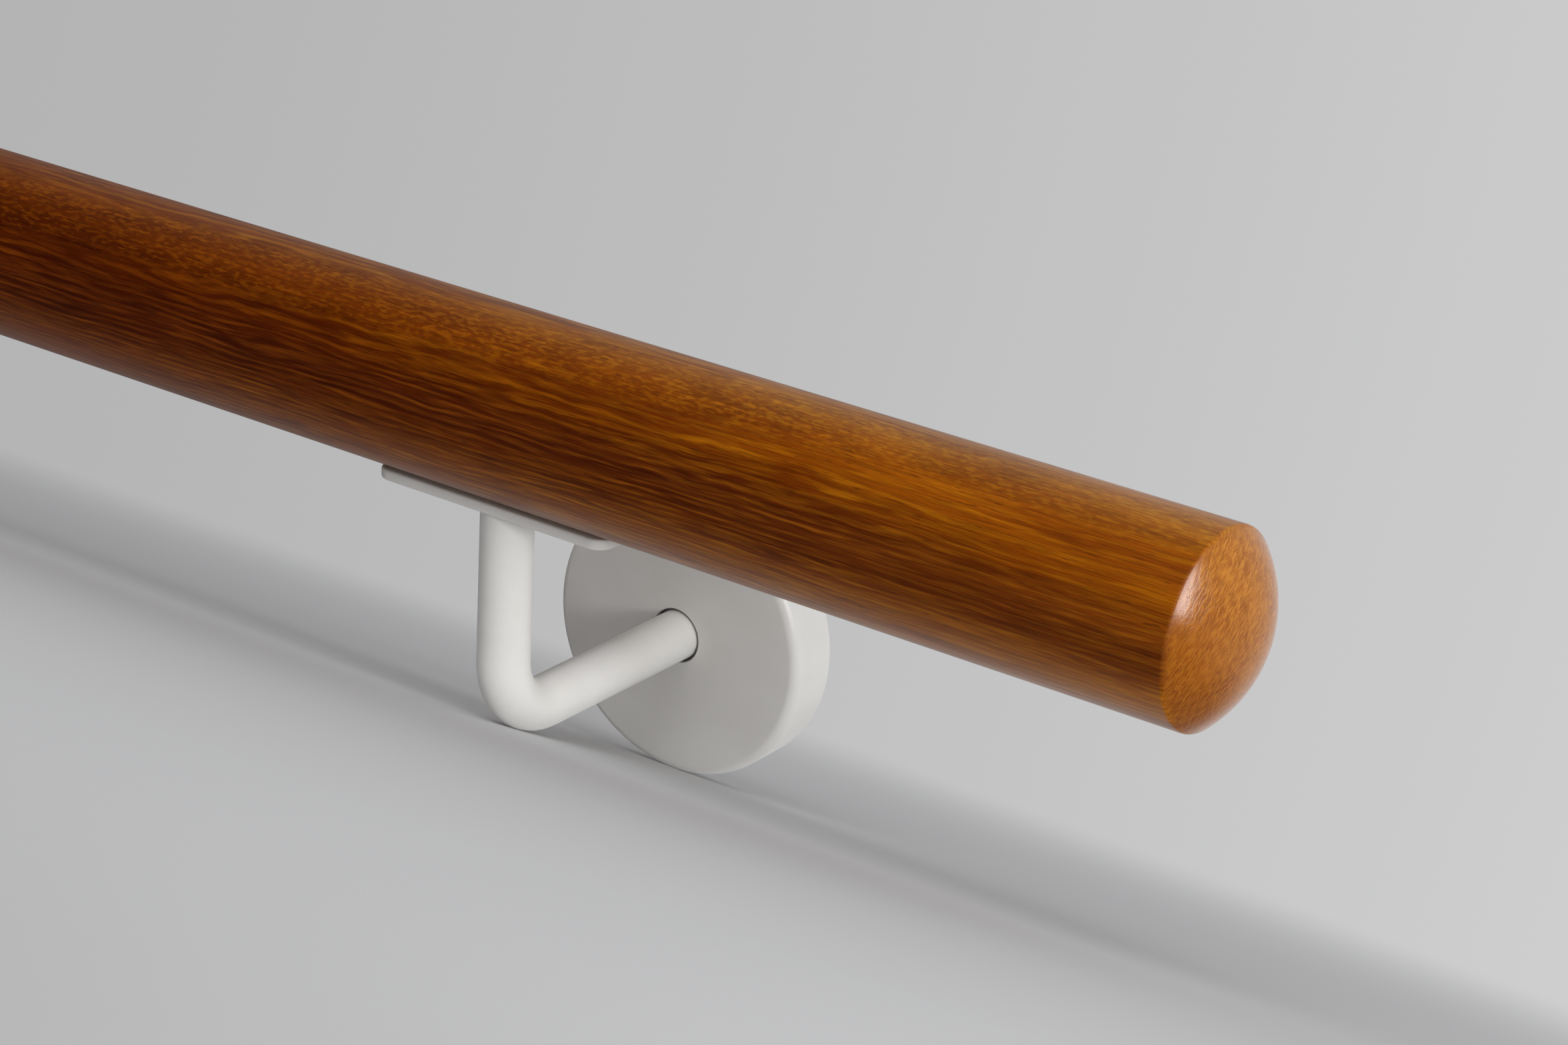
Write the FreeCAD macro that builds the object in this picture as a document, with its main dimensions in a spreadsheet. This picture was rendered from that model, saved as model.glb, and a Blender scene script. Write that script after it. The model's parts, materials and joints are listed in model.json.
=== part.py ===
"""Wooden stair handrail length on two white steel wall brackets.

Every piece is drawn in the frame of the hung rail: X runs along the rail, Y points to the
wall, Z points up, and the origin is on the rail's axis.  A bracket's pieces are drawn with the
bracket's own middle plane at X = 0.  One placement then lays the whole rail down as it stands
unheld on a floor: on the outside of its two elbows and on the lower rims of its two rosettes.
"""
import FreeCAD, Part
import math
import os

import Sketcher

DRIVING_SIZES = {
    # The round rail, in millimetres as all lengths here.
    "rail_diameter": 42.0,
    "rail_length": 800.0,
    "dome_radius": 29.0,
    "rail_edge": 1.2,
    # Where a bracket holds the rail, and how far it carries it from the wall.
    "bracket_inset": 184.0,
    "wall_distance": 77.0,
    "arm_drop": 75.5,
    # The bent round bar.
    "bar_diameter": 12.0,
    "bend_radius": 15.0,
    "socket_depth": 6.0,
    # The flat plate under the rail.
    "plate_length": 64.0,
    "plate_width": 15.0,
    "plate_thickness": 2.5,
    "plate_corner": 4.0,
    # The wood screws that hold the plate to the rail.
    "screw_end_distance": 10.0,
    "screw_length": 25.0,
    "screw_shank": 4.0,
    "screw_head": 7.6,
    "screw_head_rim": 0.3,
    "screw_tip": 5.0,
    # The cover rosette.
    "rosette_diameter": 70.0,
    "rosette_depth": 13.6,
    "rosette_wall": 1.3,
    "rosette_edge": 2.4,
    "rosette_gap": 0.7,
    # The wall flange hidden by the rosette.
    "flange_thickness": 10.0,
    "wall_screw_circle": 44.0,
    "wall_screw_hole": 6.5,
    "wall_screw_sink": 12.5,
    # Working clearances on the radius.
    "cover_clearance": 0.2,
    "screw_clearance": 0.05,
    "socket_clearance": 0.05,
}

DERIVED_SIZES = {
    "rail_radius": "rail_diameter / 2",
    "edge_reach": "sqrt((dome_radius - rail_edge) * (dome_radius - rail_edge)"
                  " - (rail_radius - rail_edge) * (rail_radius - rail_edge))",
    "edge_centre": "rail_length / 2 - dome_radius + edge_reach",
    "bracket_x": "rail_length / 2 - bracket_inset",
    "bar_radius": "bar_diameter / 2",
    "plate_underside": "rail_radius + plate_thickness",
    "screw_spacing": "plate_length - 2 * screw_end_distance",
    "arm_end": "wall_distance - flange_thickness + socket_depth",
    "rosette_radius": "rosette_diameter / 2",
    "rosette_hole": "bar_radius + rosette_gap",
    "flange_diameter": "rosette_diameter - 2 * rosette_wall - 2 * cover_clearance",
    "pilot_diameter": "screw_shank + 2 * screw_clearance",
    "pilot_depth": "screw_length - plate_thickness + screw_clearance",
    # Standing on the elbow, a circle of the bar's outer bend, and on the rosette's rounded rim.
    "elbow_outside": "bend_radius + bar_radius",
    "elbow_to_rim_y": "wall_distance - rosette_depth + rosette_edge - bend_radius",
    "elbow_to_rim_z": "rosette_edge - rosette_radius - bend_radius",
    "elbow_to_rim": "sqrt(elbow_to_rim_y * elbow_to_rim_y + elbow_to_rim_z * elbow_to_rim_z)",
    "rest_tilt": "acos((elbow_outside - rosette_edge) / elbow_to_rim)"
                 " - atan2(elbow_to_rim_z; elbow_to_rim_y) - 90 deg",
    "rest_height": "elbow_outside - sin(rest_tilt) * bend_radius"
                   " + cos(rest_tilt) * (arm_drop - bend_radius)",
    "rest_back": "cos(rest_tilt) * wall_distance + sin(rest_tilt) * (arm_drop + rosette_radius)",
    "rest_shift": "(rail_radius - rest_back) / 2",
}

WALL_SCREWS = 3
BRACKET_SIDES = {"right": 1, "left": -1}

document = FreeCAD.newDocument("HandrailLength")
sheet = document.addObject("Spreadsheet::Sheet", "Sizes")
pieces = []


def fill_sheet():
    """Write the driving sizes and the sizes worked out from them into the sheet."""
    for row, (alias, value) in enumerate(DRIVING_SIZES.items(), start=1):
        sheet.set(f"A{row}", alias)
        sheet.set(f"B{row}", str(value))
        sheet.setAlias(f"B{row}", alias)
    document.recompute()
    first_row = len(DRIVING_SIZES) + 1
    for row, (alias, formula) in enumerate(DERIVED_SIZES.items(), start=first_row):
        sheet.set(f"A{row}", alias)
        sheet.set(f"B{row}", f"={formula}")
        sheet.setAlias(f"B{row}", alias)
        document.recompute()


def bound(formula):
    """Return a formula with each size named as a cell of the sheet."""
    names = sorted([*DRIVING_SIZES, *DERIVED_SIZES], key=len, reverse=True)
    words = formula.replace("(", "( ").replace(")", " )").split()
    return " ".join(f"Sizes.{word}" if word in names else word for word in words)


def number(formula):
    """Return what a formula of sheet sizes comes to, to start a sketch near its solution."""
    result = sheet.evalExpression(bound(formula))
    return float(getattr(result, "Value", result))


def new_body(label):
    """Start a sub-part and list it for export."""
    body = document.addObject("PartDesign::Body", label)
    body.Label = label
    pieces.append(body)
    return body


def new_sketch(body, name, plane, offset=("0", "0", "0")):
    """Attach a sketch to one of its body's origin planes, moved in the sketch's own axes."""
    sketch = body.newObject("Sketcher::SketchObject", f"{body.Name}_{name}")
    support = next(item for item in body.Origin.OriginFeatures if item.Role == plane)
    sketch.AttachmentSupport = (support, [""])
    sketch.MapMode = "FlatFace"
    for axis, formula in zip("xyz", offset):
        sketch.setExpression(f"AttachmentOffset.Base.{axis}", bound(formula))
    return sketch


def constrain(sketch, kind, *items, formula=None):
    """Add a constraint, bound to a formula of sheet sizes where it has one."""
    if formula is None:
        sketch.addConstraint(Sketcher.Constraint(kind, *items))
        return
    index = sketch.addConstraint(Sketcher.Constraint(kind, *items, number(formula)))
    sketch.setExpression(f"Constraints[{index}]", bound(formula))


def fix_point(sketch, item, end, across, up):
    """Hold a point of a sketch at two formulas, or on an axis where a formula is zero."""
    for kind, axis, formula in (("DistanceX", -2, across), ("DistanceY", -1, up)):
        if formula == "0":
            constrain(sketch, "PointOnObject", item, end, axis)
        else:
            constrain(sketch, kind, -1, 1, item, end, formula=formula)


def draw_polygon(sketch, corners):
    """Draw a closed outline of straight lines through corners given as formulas."""
    points = [FreeCAD.Vector(number(across), number(up), 0) for across, up in corners]
    lines = []
    for start, end in zip(points, points[1:] + points[:1]):
        lines.append(sketch.addGeometry(Part.LineSegment(start, end), False))
    for line, following in zip(lines, lines[1:] + lines[:1]):
        constrain(sketch, "Coincident", line, 2, following, 1)
    for line, (across, up) in zip(lines, corners):
        fix_point(sketch, line, 1, across, up)


def draw_square_outline(sketch, corners):
    """Draw a closed outline of level and upright lines, with some corners rounded.

    Each corner is (across, up, radius) in formulas, and radius is None where it is sharp.
    """
    points = [FreeCAD.Vector(number(across), number(up), 0) for across, up, _ in corners]
    radii = [0.0 if radius is None else number(radius) for _, _, radius in corners]
    count = len(corners)
    lines = []
    for index in range(count):
        following = (index + 1) % count
        along = (points[following] - points[index]).normalize()
        start = points[index] + along * radii[index]
        end = points[following] - along * radii[following]
        line = sketch.addGeometry(Part.LineSegment(start, end), False)
        level = corners[index][1] == corners[following][1]
        constrain(sketch, "Horizontal" if level else "Vertical", line)
        kind, axis, formula = ("DistanceY", -1, corners[index][1])
        if not level:
            kind, axis, formula = ("DistanceX", -2, corners[index][0])
        if formula == "0":
            constrain(sketch, "PointOnObject", line, 1, axis)
        else:
            constrain(sketch, kind, -1, 1, line, 1, formula=formula)
        lines.append(line)
    for index in range(count):
        before, after = lines[index - 1], lines[index]
        if radii[index] == 0.0:
            constrain(sketch, "Coincident", before, 2, after, 1)
            continue
        round_corner(sketch, before, after, points[index], radii[index], corners[index][2])


def round_corner(sketch, before, after, corner, radius, formula):
    """Join two lines of a sketch by an arc that is tangent to both."""
    start = sketch.getPoint(before, 2)
    end = sketch.getPoint(after, 1)
    centre = start + end - corner
    circle = Part.Circle(centre, FreeCAD.Vector(0, 0, 1), radius)
    first, last = circle.parameter(start), circle.parameter(end)
    near, far = 1, 2
    turns_clockwise = (start - centre).cross(end - centre).z < 0
    if turns_clockwise:
        first, last = last, first
        near, far = far, near
    item = sketch.addGeometry(Part.ArcOfCircle(circle, first, last), False)
    constrain(sketch, "Tangent", before, 2, item, near)
    constrain(sketch, "Tangent", item, far, after, 1)
    constrain(sketch, "Radius", item, formula=formula)


def draw_circle(sketch, across, up, diameter):
    """Draw a circle whose centre and diameter are given as formulas."""
    centre = FreeCAD.Vector(number(across), number(up), 0)
    circle = Part.Circle(centre, FreeCAD.Vector(0, 0, 1), number(diameter) / 2)
    item = sketch.addGeometry(circle, False)
    fix_point(sketch, item, 3, across, up)
    constrain(sketch, "Diameter", item, formula=diameter)


def pad(body, sketch, length):
    """Pad a sketch along its normal."""
    feature = body.newObject("PartDesign::Pad", f"{sketch.Name}_pad")
    feature.Profile = sketch
    feature.setExpression("Length", bound(length))
    return feature


def pocket(body, sketch, length=None):
    """Cut a sketch out against its normal, to a depth or right through."""
    feature = body.newObject("PartDesign::Pocket", f"{sketch.Name}_pocket")
    feature.Profile = sketch
    if length is None:
        feature.Type = "ThroughAll"
    else:
        feature.setExpression("Length", bound(length))
    return feature


def revolve(body, sketch, axis, kind="PartDesign::Revolution"):
    """Turn a sketch right round one of its own axes, to add or to cut."""
    feature = body.newObject(kind, f"{sketch.Name}_turned")
    feature.Profile = sketch
    feature.ReferenceAxis = (sketch, [axis])
    feature.Angle = 360
    return feature


def lay_down(body, across="0"):
    """Place a piece as the rail stands on the floor, moved along the rail."""
    body.Placement = FreeCAD.Placement(
        FreeCAD.Vector(number(across), 0, 0),
        FreeCAD.Rotation(FreeCAD.Vector(1, 0, 0), number("rest_tilt")),
    )
    body.setExpression("Placement.Rotation.Angle", bound("rest_tilt"))
    body.setExpression("Placement.Base.x", bound(across))
    body.setExpression("Placement.Base.y", bound("rest_shift"))
    body.setExpression("Placement.Base.z", bound("rest_height"))


def draw_rail_end(sketch, direction, side_end, axis_end):
    """Draw one end of the rail's profile: the eased edge from the side and the dome to the axis."""
    up = FreeCAD.Vector(0, 0, 1)
    dome_radius, edge_radius = number("dome_radius"), number("rail_edge")
    dome_centre = FreeCAD.Vector(direction * (number("rail_length / 2") - dome_radius), 0, 0)
    edge_height = number("rail_radius - rail_edge")
    edge_centre = FreeCAD.Vector(direction * number("edge_centre"), edge_height, 0)
    turn = math.asin(edge_height / (dome_radius - edge_radius))
    dome_turns, edge_turns = (0, turn), (turn, math.pi / 2)
    near, far = 1, 2
    if direction < 0:
        dome_turns, edge_turns = (math.pi - turn, math.pi), (math.pi / 2, math.pi - turn)
        near, far = far, near
    dome = sketch.addGeometry(Part.ArcOfCircle(Part.Circle(dome_centre, up, dome_radius), *dome_turns), False)
    edge = sketch.addGeometry(Part.ArcOfCircle(Part.Circle(edge_centre, up, edge_radius), *edge_turns), False)
    constrain(sketch, "Tangent", dome, far, edge, near)
    constrain(sketch, "Tangent", edge, far, *side_end)
    constrain(sketch, "Coincident", dome, near, *axis_end)
    constrain(sketch, "PointOnObject", dome, 3, -1)
    constrain(sketch, "Radius", dome, formula="dome_radius")
    constrain(sketch, "Radius", edge, formula="rail_edge")


def make_handrail():
    """Turn the round rail with a domed end and an eased edge each side, and drill it for the plates."""
    body = new_body("handrail")
    sketch = new_sketch(body, "profile", "XZ_Plane")
    tip = number("rail_length / 2")
    radius = number("rail_radius")
    shoulder = number("edge_centre")
    side = sketch.addGeometry(Part.LineSegment(
        FreeCAD.Vector(shoulder, radius, 0), FreeCAD.Vector(-shoulder, radius, 0)), False)
    axis = sketch.addGeometry(Part.LineSegment(
        FreeCAD.Vector(-tip, 0, 0), FreeCAD.Vector(tip, 0, 0)), False)
    draw_rail_end(sketch, 1, (side, 1), (axis, 2))
    draw_rail_end(sketch, -1, (side, 2), (axis, 1))
    fix_point(sketch, axis, 1, "-1 * rail_length / 2", "0")
    fix_point(sketch, axis, 2, "rail_length / 2", "0")
    constrain(sketch, "Horizontal", side)
    constrain(sketch, "DistanceY", -1, 1, side, 1, formula="rail_radius")
    revolve(body, sketch, "H_Axis")

    holes = new_sketch(body, "pilots", "XY_Plane", ("0", "0", "pilot_depth - rail_radius"))
    for bracket in ("bracket_x", "-1 * bracket_x"):
        for half_spacing in ("+ screw_spacing / 2", "- screw_spacing / 2"):
            draw_circle(holes, f"{bracket} {half_spacing}", "0", "pilot_diameter")
    pocket(body, holes)
    lay_down(body)


def make_support_plate(side):
    """Make the flat plate under the rail, with its two countersunk screw holes."""
    body = new_body(f"support_plate_{side}")
    outline = new_sketch(body, "outline", "XY_Plane", ("0", "0", "-1 * plate_underside"))
    left, right = "-1 * plate_length / 2", "plate_length / 2"
    front, back = "-1 * plate_width / 2", "plate_width / 2"
    corners = ((left, front), (right, front), (right, back), (left, back))
    draw_square_outline(outline, [(*corner, "plate_corner") for corner in corners])
    pad(body, outline, "plate_thickness")
    for name, across in (("first", "-1 * screw_spacing / 2"), ("second", "screw_spacing / 2")):
        sink = new_sketch(body, f"{name}_sink", "XZ_Plane", (across, "-1 * plate_underside", "0"))
        head = "screw_head / 2 + screw_clearance"
        shank = "screw_shank / 2 + screw_clearance"
        cone_end = "screw_head_rim + screw_head / 2 - screw_shank / 2"
        draw_polygon(sink, (
            ("0", "0"), (head, "0"), (head, "screw_head_rim"),
            (shank, cone_end), (shank, "plate_thickness"), ("0", "plate_thickness"),
        ))
        revolve(body, sink, "V_Axis", "PartDesign::Groove")
    return body


def make_plate_screw(side, end, across):
    """Turn a countersunk wood screw that stands in the plate with its point in the rail."""
    body = new_body(f"plate_screw_{side}_{end}")
    sketch = new_sketch(body, "profile", "XZ_Plane", (across, "-1 * plate_underside", "0"))
    draw_polygon(sketch, (
        ("0", "0"), ("screw_head / 2", "0"), ("screw_head / 2", "screw_head_rim"),
        ("screw_shank / 2", "screw_head_rim + screw_head / 2 - screw_shank / 2"),
        ("screw_shank / 2", "screw_length - screw_tip"), ("0", "screw_length"),
    ))
    revolve(body, sketch, "V_Axis")
    return body


def make_bracket_arm(side):
    """Sweep the round bar down from the plate, round the elbow and into the wall flange."""
    body = new_body(f"bracket_arm_{side}")
    path = new_sketch(body, "path", "YZ_Plane")
    bend = number("bend_radius")
    drop = number("arm_drop")
    top = FreeCAD.Vector(0, -number("plate_underside"), 0)
    bend_start = FreeCAD.Vector(0, bend - drop, 0)
    bend_end = FreeCAD.Vector(bend, -drop, 0)
    end = FreeCAD.Vector(number("arm_end"), -drop, 0)
    circle = Part.Circle(FreeCAD.Vector(bend, bend - drop, 0), FreeCAD.Vector(0, 0, 1), bend)
    upright = path.addGeometry(Part.LineSegment(top, bend_start), False)
    elbow = path.addGeometry(Part.ArcOfCircle(circle, math.pi, 1.5 * math.pi), False)
    arm = path.addGeometry(Part.LineSegment(bend_end, end), False)
    constrain(path, "Tangent", upright, 2, elbow, 1)
    constrain(path, "Tangent", elbow, 2, arm, 1)
    constrain(path, "Vertical", upright)
    constrain(path, "Horizontal", arm)
    constrain(path, "Radius", elbow, formula="bend_radius")
    fix_point(path, upright, 1, "0", "-1 * plate_underside")
    fix_point(path, arm, 2, "arm_end", "-1 * arm_drop")

    section = new_sketch(body, "section", "XY_Plane", ("0", "0", "-1 * plate_underside"))
    draw_circle(section, "0", "0", "bar_diameter")
    sweep = body.newObject("PartDesign::AdditivePipe", f"{body.Name}_sweep")
    sweep.Profile = section
    sweep.Spine = (path, [])
    return body


def make_wall_flange(side):
    """Make the round flange that is screwed to the wall, with the socket for the bar."""
    body = new_body(f"wall_flange_{side}")
    disc = new_sketch(body, "disc", "XZ_Plane", ("0", "-1 * arm_drop", "-1 * wall_distance"))
    draw_circle(disc, "0", "0", "flange_diameter")
    pad(body, disc, "flange_thickness")

    front = ("0", "-1 * arm_drop", "flange_thickness - wall_distance")
    socket = new_sketch(body, "socket", "XZ_Plane", front)
    draw_circle(socket, "0", "0", "bar_diameter + 2 * socket_clearance")
    pocket(body, socket, "socket_depth")

    sink = new_sketch(body, "screw_sink", "YZ_Plane",
                      ("wall_distance", "wall_screw_circle / 2 - arm_drop", "0"))
    hole, head = "wall_screw_hole / 2", "wall_screw_sink / 2"
    cone_end = "wall_screw_sink / 2 - wall_screw_hole / 2 - flange_thickness"
    draw_polygon(sink, (
        ("0", "0"), ("0", hole), (cone_end, hole),
        ("-1 * flange_thickness", head), ("-1 * flange_thickness", "0"),
    ))
    hole_cut = revolve(body, sink, "H_Axis", "PartDesign::Groove")
    pattern = body.newObject("PartDesign::PolarPattern", f"{body.Name}_screw_holes")
    pattern.Originals = [hole_cut]
    pattern.Axis = (disc, ["N_Axis"])
    pattern.Angle = 360
    pattern.Occurrences = WALL_SCREWS
    body.Tip = pattern
    return body


def make_cover_rosette(side):
    """Turn the thin cup that slides along the bar and hides the flange and its screws."""
    body = new_body(f"cover_rosette_{side}")
    sketch = new_sketch(body, "profile", "YZ_Plane", ("wall_distance", "-1 * arm_drop", "0"))
    face, inside_face = "-1 * rosette_depth", "rosette_wall - rosette_depth"
    outside, inside = "rosette_radius", "rosette_radius - rosette_wall"
    draw_square_outline(sketch, (
        ("0", outside, None), (face, outside, "rosette_edge"), (face, "rosette_hole", None),
        (inside_face, "rosette_hole", None),
        (inside_face, inside, "rosette_edge - rosette_wall"), ("0", inside, None),
    ))
    revolve(body, sketch, "H_Axis")
    return body


def make_bracket(side, direction):
    """Make one bracket with its screws and place it along the rail."""
    made = [
        make_support_plate(side),
        make_plate_screw(side, "inner", f"-1 * {direction} * screw_spacing / 2"),
        make_plate_screw(side, "outer", f"{direction} * screw_spacing / 2"),
        make_bracket_arm(side),
        make_wall_flange(side),
        make_cover_rosette(side),
    ]
    for body in made:
        lay_down(body, f"{direction} * bracket_x")


def check_document():
    """Stop if any object failed or any piece has no single valid solid."""
    for item in document.Objects:
        if "Invalid" in item.State or "Error" in item.State:
            raise RuntimeError(f"{item.Name} failed: {item.State}")
    for body in pieces:
        if body.Shape.isNull() or not body.Shape.isValid() or len(body.Shape.Solids) != 1:
            raise RuntimeError(f"{body.Label} has no single valid solid")


def write_pieces():
    """Write each piece to its own file."""
    os.makedirs("parts", exist_ok=True)
    for body in pieces:
        body.Shape.exportStep(f"parts/{body.Label}.step")


fill_sheet()
make_handrail()
for bracket_side, bracket_direction in BRACKET_SIDES.items():
    make_bracket(bracket_side, bracket_direction)
document.recompute()
check_document()
write_pieces()
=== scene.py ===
"""Looks of a round hardwood stair handrail length on two white wall brackets.

The pieces are modelled in the frame of the hung rail, in metres: X along the rail, Y towards
the wall, Z up, and the origin on the rail's axis half way along it.  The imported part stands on
its elbows and rosette rims, so every mesh is turned into that stance before it is finished.
"""
from __future__ import annotations

import json
import logging
import math
from dataclasses import dataclass, field
from enum import Enum
from functools import partial, reduce
from typing import Iterable, Sequence, Union

import bmesh
import bpy
from bmesh.types import BMEdge, BMesh, BMVert
from bpy.types import Material, Node, NodeSocket as Socket, NodeTree, Object
from mathutils import Matrix, Vector

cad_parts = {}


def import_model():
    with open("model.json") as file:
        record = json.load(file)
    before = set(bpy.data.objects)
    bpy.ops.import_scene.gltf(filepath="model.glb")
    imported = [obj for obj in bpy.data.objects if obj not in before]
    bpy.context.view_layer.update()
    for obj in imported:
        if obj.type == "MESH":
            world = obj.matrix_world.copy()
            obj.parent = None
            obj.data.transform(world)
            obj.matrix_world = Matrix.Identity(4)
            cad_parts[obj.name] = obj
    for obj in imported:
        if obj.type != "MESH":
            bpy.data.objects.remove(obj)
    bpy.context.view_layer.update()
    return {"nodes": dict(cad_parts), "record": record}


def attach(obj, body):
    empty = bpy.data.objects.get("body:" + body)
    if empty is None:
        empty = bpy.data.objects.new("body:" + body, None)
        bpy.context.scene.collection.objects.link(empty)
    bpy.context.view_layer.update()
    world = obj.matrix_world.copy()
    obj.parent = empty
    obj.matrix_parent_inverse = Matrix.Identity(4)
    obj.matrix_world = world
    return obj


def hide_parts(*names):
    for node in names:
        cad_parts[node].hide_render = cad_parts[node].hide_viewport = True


LOG = logging.getLogger("handrail")
MM = 0.001
PHOTO_WIDTH = 2352
ROOT_BODY = "root"

SocketValue = Union[Socket, float, Sequence[float]]
Colour = tuple[float, float, float]
Triple = tuple[float, float, float]
Span = tuple[float, float]


class Side(Enum):
    """The two ends of the rail at which a bracket stands."""

    RIGHT = "right"
    LEFT = "left"


class Slot(Enum):
    """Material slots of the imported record."""

    WOOD = "varnished_hardwood"
    COAT = "white_powder_coat"
    ZINC = "zinc_plated_screw"


@dataclass
class Stance:
    """How the hung rail is turned and moved to stand on the floor.

    Attributes:
        wall_distance: From the rail's axis to the wall.
        arm_drop: From the rail's axis down to the bracket arm's axis.
        tilt: Turn about the rail's length.
        centre: Where the middle of the rail's axis stands.
        bracket_x: Where along the rail each bracket stands.
    """

    wall_distance: float = 77.0 * MM
    arm_drop: float = 75.5 * MM
    tilt: float = field(init=False, default=0.0)
    centre: Vector = field(init=False, default_factory=Vector)
    bracket_x: dict[Side, float] = field(init=False, default_factory=dict)

    def read(self, record: dict) -> None:
        """Take the tilt, the rail's axis and the brackets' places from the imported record.

        Args:
            record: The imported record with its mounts.
        """
        mounts = {mount["name"]: mount for mount in record["mounts"]}
        for side in Side:
            mount = mounts[f"wall_face_{side.value}"]
            to_wall = Vector(mount["axis"])
            upwards = Vector((0.0, -to_wall.z, to_wall.y))
            place = Vector(mount["pos_m"])
            self.bracket_x[side] = place.x
            self.centre = place - self.wall_distance * to_wall + self.arm_drop * upwards
            self.centre.x = 0.0
            self.tilt = math.atan2(to_wall.z, to_wall.y)

    def matrix(self, along: float = 0.0) -> Matrix:
        """Return the matrix from the hung frame, moved along the rail, to the floor's frame.

        Args:
            along: Distance from the rail's middle.

        Returns:
            The matrix to apply to a mesh.
        """
        shift = Matrix.Translation(self.centre + Vector((along, 0.0, 0.0)))
        return shift @ Matrix.Rotation(self.tilt, 4, "X")


class Graph:
    """A node tree with short ways to add nodes, feed their sockets and do sums."""

    def __init__(self, tree: NodeTree) -> None:
        """Keep the tree that the nodes go into."""
        self.tree = tree

    def add(self, kind: str, **settings: object) -> Node:
        """Add a node and set its properties.

        Args:
            kind: The node's type name without its ShaderNode prefix.
            settings: Properties of the node.

        Returns:
            The new node.
        """
        prefix = "" if kind.startswith("NodeGroup") else "ShaderNode"
        node = self.tree.nodes.new(prefix + kind)
        for name, value in settings.items():
            setattr(node, name, value)
        return node

    def feed(self, socket: Socket, value: SocketValue) -> None:
        """Link a socket to another one, or give it a plain value.

        Args:
            socket: The input to feed.
            value: An output socket, a number or a list of numbers.
        """
        if isinstance(value, Socket):
            self.tree.links.new(value, socket)
        else:
            socket.default_value = value

    def fill(self, kind: str, *values: SocketValue, **settings: object) -> Socket:
        """Add a node and feed its inputs in order.

        Args:
            kind: The node's type name without its ShaderNode prefix.
            values: What the inputs get.
            settings: Properties of the node.

        Returns:
            The node's first output.
        """
        node = self.add(kind, **settings)
        for socket, value in zip(node.inputs, values):
            self.feed(socket, value)
        return node.outputs[0]

    def math(self, operation: str, *values: SocketValue) -> Socket:
        """Add a Math node and return its result."""
        return self.fill("Math", *values, operation=operation)

    def plus(self, *values: SocketValue) -> Socket:
        """Add values up."""
        return reduce(partial(self.math, "ADD"), values)

    def less(self, first: SocketValue, second: SocketValue) -> Socket:
        """Take the second value from the first."""
        return self.math("SUBTRACT", first, second)

    def times(self, *values: SocketValue) -> Socket:
        """Multiply values."""
        return reduce(partial(self.math, "MULTIPLY"), values)

    def divide(self, vector: Socket, sizes: SocketValue) -> Socket:
        """Divide a place by sizes, axis by axis."""
        return self.fill("VectorMath", vector, sizes, operation="DIVIDE")

    def join(self, *axes: SocketValue) -> Socket:
        """Join X, Y and Z into a vector."""
        return self.fill("CombineXYZ", *axes)

    def axes(self, vector: Socket) -> tuple[Socket, ...]:
        """Split a vector into X, Y and Z."""
        return tuple(self.fill("SeparateXYZ", vector).node.outputs)

    def noise(self, vector: Socket, sizes: Triple, detail: float = 2.0, roughness: float = 0.5,
              distortion: float = 0.0) -> Socket:
        """Add a noise whose features have the given sizes along the three axes.

        Args:
            vector: The place, in the units of the sizes.
            sizes: Feature sizes along X, Y and Z.
            detail: Octaves of finer noise.
            roughness: Strength of the finer octaves.
            distortion: How far the noise is pulled about.

        Returns:
            The noise from 0 to 1, mostly between 0.3 and 0.7.
        """
        node = self.add("TexNoise", noise_dimensions="3D")
        self.feed(node.inputs["Vector"], self.divide(vector, sizes))
        for name, value in (("Scale", 1.0), ("Detail", detail), ("Roughness", roughness),
                            ("Distortion", distortion)):
            self.feed(node.inputs[name], value)
        return node.outputs[0]

    def ramp(self, value: SocketValue, start: float, end: float, low: SocketValue = 0.0,
             high: SocketValue = 1.0) -> Socket:
        """Ease from low, as the value is at the start, to high, as it is at the end."""
        return self.fill("MapRange", value, start, end, low, high, interpolation_type="SMOOTHSTEP")

    def mix(self, factor: SocketValue, first: SocketValue, second: SocketValue,
            blend: str = "MIX") -> Socket:
        """Mix two colours.

        Args:
            factor: Share of the second colour.
            first: The colour at factor 0.
            second: The colour at factor 1.
            blend: The blend mode.

        Returns:
            The mixed colour's socket.
        """
        node = self.add("Mix", data_type="RGBA", blend_type=blend)
        inputs = {socket.identifier: socket for socket in node.inputs}
        self.feed(inputs["Factor_Float"], factor)
        self.feed(inputs["A_Color"], first)
        self.feed(inputs["B_Color"], second)
        return next(socket for socket in node.outputs if socket.identifier == "Result_Color")


def opaque(colour: Colour) -> tuple[float, float, float, float]:
    """Return a colour with full alpha."""
    return (*colour, 1.0)


@dataclass(frozen=True)
class Mottle:
    """A noise that is eased from one level to another, in millimetres.

    Attributes:
        sizes: Feature sizes along X, Y and Z.
        start: The noise at which the easing starts.
        end: The noise at which it ends.
        low: The result up to the start.
        high: The result past the end.
        detail: Octaves of finer noise.
        roughness: Strength of the finer octaves.
        distortion: How far the noise is pulled about.
    """

    sizes: Triple
    start: float
    end: float
    low: float = 0.0
    high: float = 1.0
    detail: float = 2.0
    roughness: float = 0.5
    distortion: float = 0.0

    def on(self, graph: Graph, place: Socket) -> Socket:
        """Return the eased noise at a place."""
        noise = graph.noise(place, self.sizes, self.detail, self.roughness, self.distortion)
        return graph.ramp(noise, self.start, self.end, self.low, self.high)


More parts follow.
